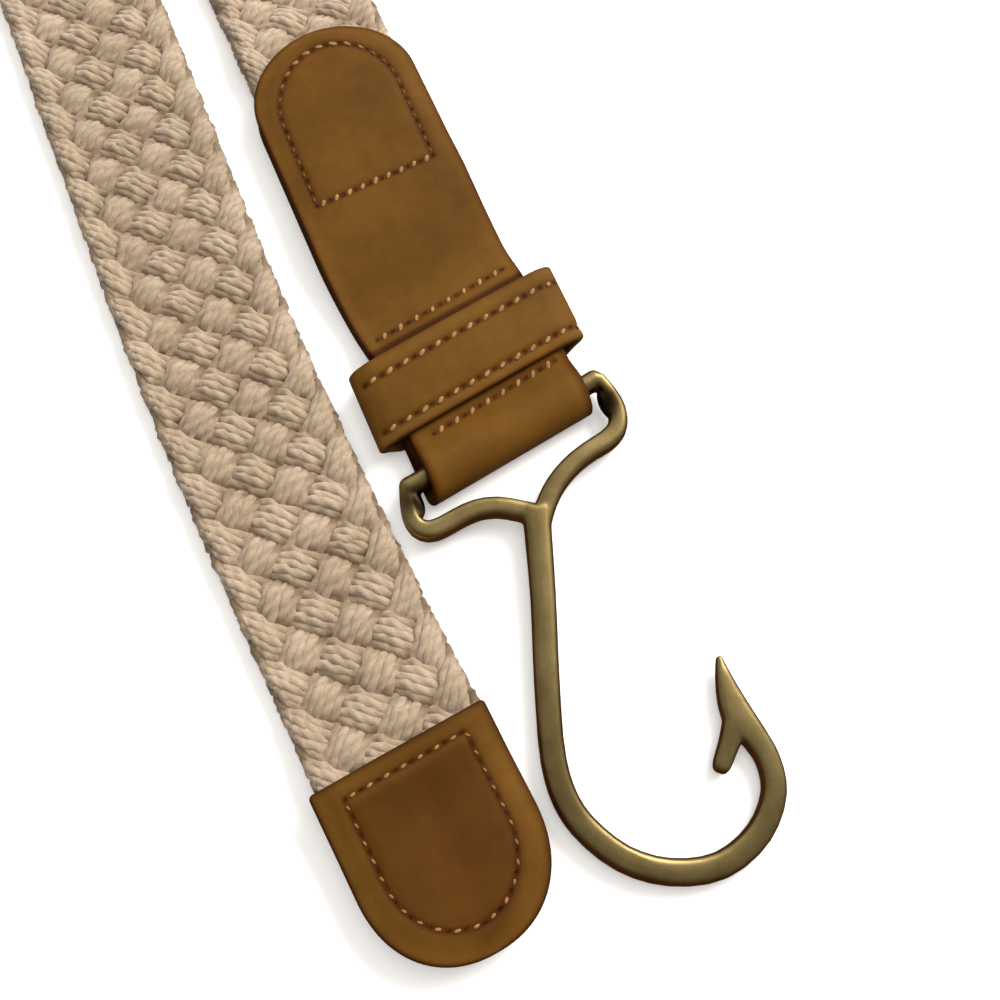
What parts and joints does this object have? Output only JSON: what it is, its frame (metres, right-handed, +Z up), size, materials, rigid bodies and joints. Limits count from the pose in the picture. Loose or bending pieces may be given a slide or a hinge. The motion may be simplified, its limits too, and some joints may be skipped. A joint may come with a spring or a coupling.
{
  "type": "braided rope belt",
  "caption": "Flat plaited cotton belt with a leather tip, a leather tab and keeper at the buckle end, and a brass fish-hook buckle that swings on its bar.",
  "frame": {"origin": "under the middle of the belt's outline, on the surface it lies on", "axes": "+Z up from the surface, +Y from the hook along the straps to the far loop, +X from the tip strap to the buckle strap"},
  "size_m": [0.0892, 0.4994, 0.0284],
  "materials": {
    "cotton_braid": "matte, plaited from strands of soft cotton yarn",
    "tan_leather": "smooth matte tan leather with light stitching",
    "cast_brass": "satin, a little darkened"
  },
  "bodies": {
    "strap": {"braid_band": "cotton_braid", "tip_front": "tan_leather", "tip_back": "tan_leather", "buckle_tab": "tan_leather", "keeper": "tan_leather"},
    "hook": {"hook": "cast_brass"}
  },
  "joints": [
    {"name": "hook_swing", "type": "hinge", "parent": "strap", "child": "hook", "pos_m": [0.01962, -0.17253, 0.00365], "axis": [-0.9877, -0.1564, 0], "range_deg": [-135, 135]}
  ]
}
